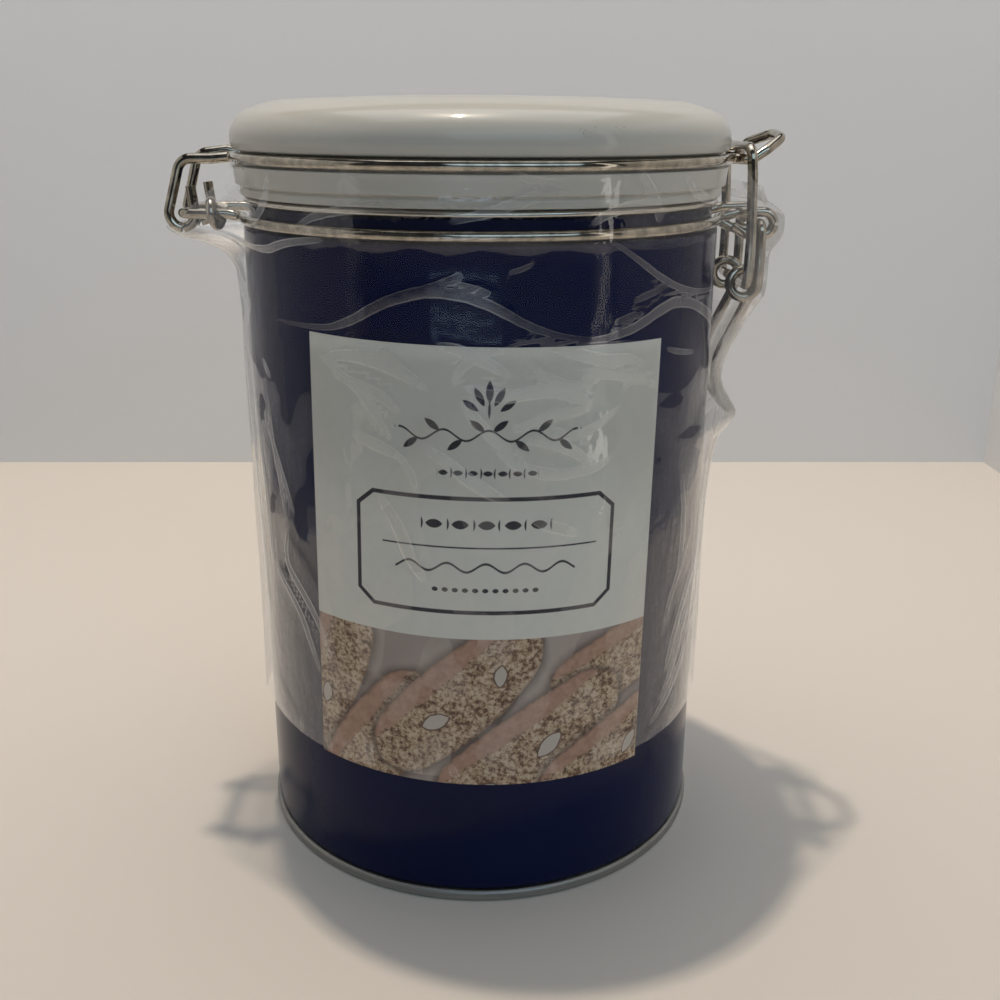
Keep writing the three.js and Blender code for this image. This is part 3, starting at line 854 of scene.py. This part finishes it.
def strayFolds():
    draw = random.Random(strays["seed"]).uniform

    def azimuths(kind, spread):
        count, first, step = strays[kind]
        for i in range(count):
            yield first + i * step + draw(-spread, spread)

    for azimuth in azimuths("pleats", 3):
        top, drop, lean = draw(100, 124), draw(34, 62), draw(-9, 9)
        path = [(azimuth + lean * aside, top - drop * down)
                for aside, down in ((0, 0), (0.35, 0.35), (0.8, 0.7), (1, 1))]
        yield path, draw(0.12, 0.4), draw(0.5, 1.3)
    for azimuth in azimuths("waves", 4):
        base, rise = draw(127, 133), draw(3, 6)
        path = [(azimuth, base), (azimuth + 6, base + rise * 0.3), (azimuth + 12, base + rise),
                (azimuth + 19, base + rise * 0.6), (azimuth + 25, base - 1)]
        yield path, draw(0.2, 0.35), draw(0.7, 1.1)
    for azimuth in azimuths("ringWaves", 4):
        path = [(azimuth, 150), (azimuth + 7, draw(151, 155)), (azimuth + 15, 153)]
        yield path, draw(0.2, 0.3), draw(0.7, 1.0)
    for _ in range(strays["nicks"]):
        azimuth, height = draw(10, 170), draw(60, 126)
        path = [(azimuth, height), (azimuth + draw(-7, 7), height - draw(5, 12))]
        yield path, draw(0.2, 0.35), draw(0.7, 1.0)
    # short ones along the lower edge, where the band drew in
    for azimuth in azimuths("hemNicks", 4):
        path = [(azimuth, 30), (azimuth + draw(-2.5, 2.5), draw(34, 39))]
        yield path, draw(0.08, 0.18), draw(0.5, 0.9)


def ease(value, low, high):
    share = np.clip((value - low) / (high - low), 0, 1)
    return share * share * (3 - 2 * share)


def growth(value, strength, low, high):
    return strength * ease(value, low, high)


def tightReach(off, circle, tent, z):
    # distance from the axis to film drawn tight round a circle and a bar ahead of it; off is in radians
    heights, reaches, widths = (np.array(column) for column in zip(*tent))
    x, y = np.interp(z, heights, reaches), np.interp(z, heights, widths)
    far = np.hypot(x, y)
    cornerAngle = np.arctan2(y, x)
    leaveAngle = cornerAngle + np.arccos(np.clip(circle / far, -1, 1))
    ahead = x / np.cos(np.minimum(off, 1.2))
    beside = circle / np.cos(np.clip(leaveAngle - off, -1.4, 1.4))
    reach = np.where(off > cornerAngle, beside, ahead)
    return np.where((far <= circle) | (off >= leaveAngle), circle, np.maximum(reach, circle))


def eased(line):
    # corners of a fold's path cut twice over, its ends kept
    for _ in range(2):
        cut = [line[0]]
        for (ax, az), (bx, bz) in zip(line, line[1:]):
            cut += [(0.75 * ax + 0.25 * bx, 0.75 * az + 0.25 * bz),
                    (0.25 * ax + 0.75 * bx, 0.25 * az + 0.75 * bz)]
        line = cut + [line[-1]]
    return line


def nearLine(points, arc, z):
    # signed distance from a line of azimuths and heights, and a taper: 1 halfway along it, 0 at its ends
    girthArc = 2 * pi * bandShape["radius"]
    line = eased([(radians(azimuth) * bandShape["radius"], level) for azimuth, level in points])
    nearest = np.full_like(arc, 1e9)
    share = np.zeros_like(arc)
    for k, ((ax, az), (bx, bz)) in enumerate(zip(line, line[1:])):
        dx, dz = bx - ax, bz - az
        px = (arc - ax + girthArc / 2) % girthArc - girthArc / 2
        t = np.clip((px * dx + (z - az) * dz) / (dx * dx + dz * dz), 0, 1)
        distance = np.hypot(px - t * dx, z - az - t * dz)
        distance = np.where(px * dz - (z - az) * dx < 0, -distance, distance)
        closer = np.abs(distance) < np.abs(nearest)
        nearest = np.where(closer, distance, nearest)
        share = np.where(closer, (k + t) / (len(line) - 1), share)
    return nearest, np.sin(np.pi * np.clip(share, 0.0, 1.0)) ** 0.6


def foldFields(arc, z):
    # height of the folds, height of the nearest fold's crest, and half widths that a point is beside it
    rise = np.zeros_like(arc)
    crest = np.zeros_like(arc)
    farAside = 9.0
    beside = np.full_like(arc, farAside)
    for points, height, halfWidth in [*bandFolds, *strayFolds()]:
        nearest, taper = nearLine(points, arc, z)
        rise = np.maximum(rise, height * (0.15 + 0.85 * taper) * np.exp(-(nearest / halfWidth / 1.2) ** 2))
        # measured in the fold's own width, which narrows towards its ends
        widths = np.clip(nearest / halfWidth / np.maximum(taper, 0.15), -farAside, farAside)
        closest = np.abs(widths) < np.abs(beside)
        beside = np.where(closest, widths, beside)
        crest = np.where(closest, height * taper, crest)
    return rise, crest * (1 - ease(np.abs(beside), 1.6, 2.6)), beside


# furrows where the film nearly touches the tin: azimuth and height, then strength and half width
bandFurrows = [
    ([(-141, 82.7), (-138, 80), (-134, 77), (-130, 72)], 0.8, 1.3),
    ([(-147, 73.5), (-141, 69.4), (-136, 66), (-130, 62.5)], 0.8, 1.5),
    ([(-152, 45), (-146, 39), (-138, 36)], 0.4, 1.0),
    ([(-156, 108), (-153, 103), (-146, 95.6), (-139, 86)], 0.6, 0.7),
    ([(-158, 103), (-153, 93), (-147, 85)], 0.45, 0.6),
    ([(-30, 64), (-31, 56), (-32, 44), (-39, 38), (-48, 34)], 0.75, 1.3),
    ([(-20, 62), (-23, 55), (-27, 47)], 0.5, 0.9),
    ([(-35, 64), (-38, 58), (-44, 54)], 0.35, 1.1),
    ([(-15, 72), (-18, 58), (-22, 45)], 0.4, 0.8),
]


# beside the label the band lies closer too: azimuth, half width where full and where gone, height of
# the lower end, its slope per degree and softness, strength
tongues = [(-139, 8, 13, 85.5, 0, 1, 0.6), (-40, 11, 15, 87.6, 0.8, 0.8, 0.3)]
overRings = (0.33, 141, 144)      # and over the rings: strength, heights where it starts and is full


def furrowField(angle, z):
    # 0 where the film stands off, up to 1 where it nearly touches
    closest = np.zeros_like(angle)
    for points, depth, halfWidth in bandFurrows:
        nearest, taper = nearLine(points, angle * bandShape["radius"], z)
        closest = np.maximum(closest, depth * taper * np.exp(-(nearest / halfWidth) ** 2))
    azimuth = np.degrees(angle)
    wide = growth(z, *overRings)
    for middle, full, gone, height, slope, soft, strength in tongues:
        border = height + slope * (azimuth - middle)
        across = 1 - ease(np.abs(azimuth - middle), full, gone)
        wide = wide + strength * across * ease(z, border - soft, border + soft)
    return np.maximum(closest, wide)


def waves(angle, z, seed, count, around, upwards):
    # a slow random swell, roughly -1 to 1, that closes round the tin
    pick = random.Random(seed)
    total = np.zeros_like(angle)
    for _ in range(count):
        turns, climb = pick.randint(*around), pick.uniform(*upwards) * pick.choice((-1, 1))
        height, start = pick.uniform(0.4, 1.0), pick.uniform(0, anyStart)
        total += height * np.sin(turns * angle + climb * z + start)
    return total / sqrt(count) / 0.55


clingShape = {
    "base": -0.25, "latchSide": -0.2, "latchSideFrom": -1,      # from that many radians on
    # strength, then where it starts and is full: heights, or degrees off the label's middle and the back's
    "upper": (1.25, 112, 121), "rings": (-1.5, 143, 147), "sides": (-1.35, 56, 80),
    "foot": -0.7, "footEnds": (62, 88), "footFrom": (34, 44),
    "label": 0.3, "labelEnds": (34, 42), "labelTop": (112, 121),
    "patches": {"seed": 3, "count": 12, "around": (6, 26), "upwards": (0.08, 0.36)},
    "patchy": 0.42, "calmTop": (0.3, 128, 138), "calmLatchSide": (0.24, -56, -36),
    # streaks where the band was drawn down beside the label: azimuth, height, half length, half height
    "streaks": [(-37, 120.5, 12, 2.2), (-41, 116.6, 10, 1.9), (-44, 112.6, 8, 1.6), (-33, 104, 9, 1.5)],
    "streaked": 1.6,
}


def clingField(angle, z):
    # above 0 where the film lies tight on the tin, below 0 where it stands off
    c = clingShape
    azimuth = np.degrees(angle)
    off = np.abs(np.abs(azimuth) - 90)
    tight = (c["base"] + c["latchSide"] * (angle > c["latchSideFrom"]) + growth(z, *c["upper"])
             + growth(z, *c["rings"]) + growth(off, *c["sides"]))
    low = c["foot"] * (1 - ease(z, *c["footEnds"])) * ease(off, *c["footFrom"])
    onLabel = c["label"] * (1 - ease(off, *c["labelEnds"])) * (1 - ease(z, *c["labelTop"])) * (angle < 0)
    patchy = c["patchy"] - growth(z, *c["calmTop"]) - growth(azimuth, *c["calmLatchSide"])
    streaks = sum(np.clip(1 - np.hypot((azimuth - at) / long, (z - level) / wide), 0, 1)
                  for at, level, long, wide in c["streaks"])
    patches = waves(angle, z, **c["patches"]) * patchy
    return tight + low + onLabel + patches + c["streaked"] * streaks


def raggedEdge(angle, seed, count, turns, high):
    pick = random.Random(seed)
    sines = [(pick.randint(*turns), pick.uniform(0, anyStart), pick.uniform(*high)) for _ in range(count)]
    return sum(size * np.sin(times * angle + start) for times, start, size in sines)


def edgeDip(off, depth, full, gone):
    return depth * (1 - ease(off, full, gone))


def makeBand():
    s = bandShape
    bpy.ops.mesh.primitive_grid_add(x_subdivisions=s["columns"], y_subdivisions=s["rows"], size=1)
    band = nameIt("shrinkBand")
    count = len(band.data.vertices)
    flat = np.zeros(count * 3)
    band.data.vertices.foreach_get("co", flat)
    flat = flat.reshape(-1, 3)
    raw = (flat[:, 0] + 0.5) * 2 * pi - pi
    share = flat[:, 1] + 0.5
    angle = raw - s["crowding"] * np.sin(2 * raw)
    fromLatch, fromHinge = np.abs(angle), pi - np.abs(angle)
    ragged = raggedEdge(angle, **s["ragged"])
    top = (s["high"] + s["topRagged"] * ragged - edgeDip(fromLatch, *s["latchDip"])
           - edgeDip(fromHinge, *s["hingeDip"]))
    bottom = s["low"] + 0.8 + s["footRagged"] * ragged
    level = s["low"] + (s["high"] - s["low"]) * share
    # the rows above and below one height are spread out to the dipped and ragged edges
    still = s["slackFrom"]
    z = np.where(level > still, still + (level - still) * (top - still) / (s["high"] - still),
                 bottom + (level - s["low"]) * (still - bottom) / (still - s["low"]))
    heights, radii = (np.array(column) for column in zip(*s["girth"]))
    circle = np.interp(z, heights, radii)
    reach = np.maximum(tightReach(fromLatch, circle, s["latch"], z),
                       tightReach(fromHinge, circle, s["hinge"], z))
    rise, crest, beside = foldFields(angle * s["radius"], z)
    cling = clingField(angle, z)
    swell = np.clip(0.5 + 0.5 * waves(angle, z, **s["swell"]), 0, 1.3)
    # less slack where it clings, and less again with flatter folds over the rings
    slack = s["slack"] * swell * (1 - ease(cling, -0.2, 0.5)) * (1 - growth(z, 0.75, 143, 147))
    reach = reach + (s["gap"] + slack) + s["foldShare"] * rise * (1 - growth(z, 0.7, 146, 150))
    co = np.stack([reach * np.cos(angle), reach * np.sin(angle), z], 1) * mm
    band.data.vertices.foreach_set("co", co.ravel())
    # the webs below the hook and the latch are milky, the film round the wires is nearly clear
    web = np.where(fromHinge < 1.2, 1.8 * (1 - ease(z, 141, 146)), 1 - ease(z, 122, 131))
    pocket = ease(reach - circle, 0.6, 3.0) * (0.15 + 0.85 * web)
    onPaper = ((1 - ease(np.abs(np.degrees(angle) + 90), *s["paperSide"])) * ease(z, *s["paperFoot"])
               * (1 - ease(z, *s["paperTop"])))
    fields = {"cling": cling, "foldAside": beside, "foldRise": crest, "pocket": pocket,
              "onPaper": onPaper, "furrow": furrowField(angle, z)}
    for name, values in fields.items():
        band.data.attributes.new(name, "FLOAT", "POINT").data.foreach_set("value", values)
    mend(band, 0.01 * mm)
    applyModifier(band, "SOLIDIFY", thickness=s["wall"] * mm, offset=1.0)
    return settle(band, smoothUnder=70)


setCamera()
buildStage()
setLights()
print("stage, camera and lights set")

navy, enamel, steel = makeNavy(), makeEnamel(), makeSteel()
seam, rim = makeTinplate("seamTinplate"), makeTinplate("rimTinplate")
print("finishes mixed")

finishUp(turnUp("tinBody", tinShape), "tin_body", navy)
finishUp(turnUp("seamedFoot", footShape), "base_end", seam)
finishUp(makeCurl(), "neck_curl", rim)
finishUp(turnUp("domedLid", lidShape), "lid", enamel)
print("turned pieces done")

for name, corners, node in (("lidWire", bothSides(lidWireHalf(False), lidWireHalf(True)), "lid_wire"),
                            ("neckWire", bothSides(neckWireHalf()), "neck_wire"),
                            ("bailWire", bothSides(bailHalf()), "bail"),
                            ("leverWire", bothSides(leverHalf()), "lever"),
                            ("tieWire", wrapCorners(), "tie_wrap")):
    finishUp(bendWire(name, corners), node, steel)
print("clamp bent")

finishUp(makeLabel(), "label", makeLabelPrint())
print("label on")
finishUp(makeBand(), "shrink_film", makeFilmFinish())
print("band shrunk")
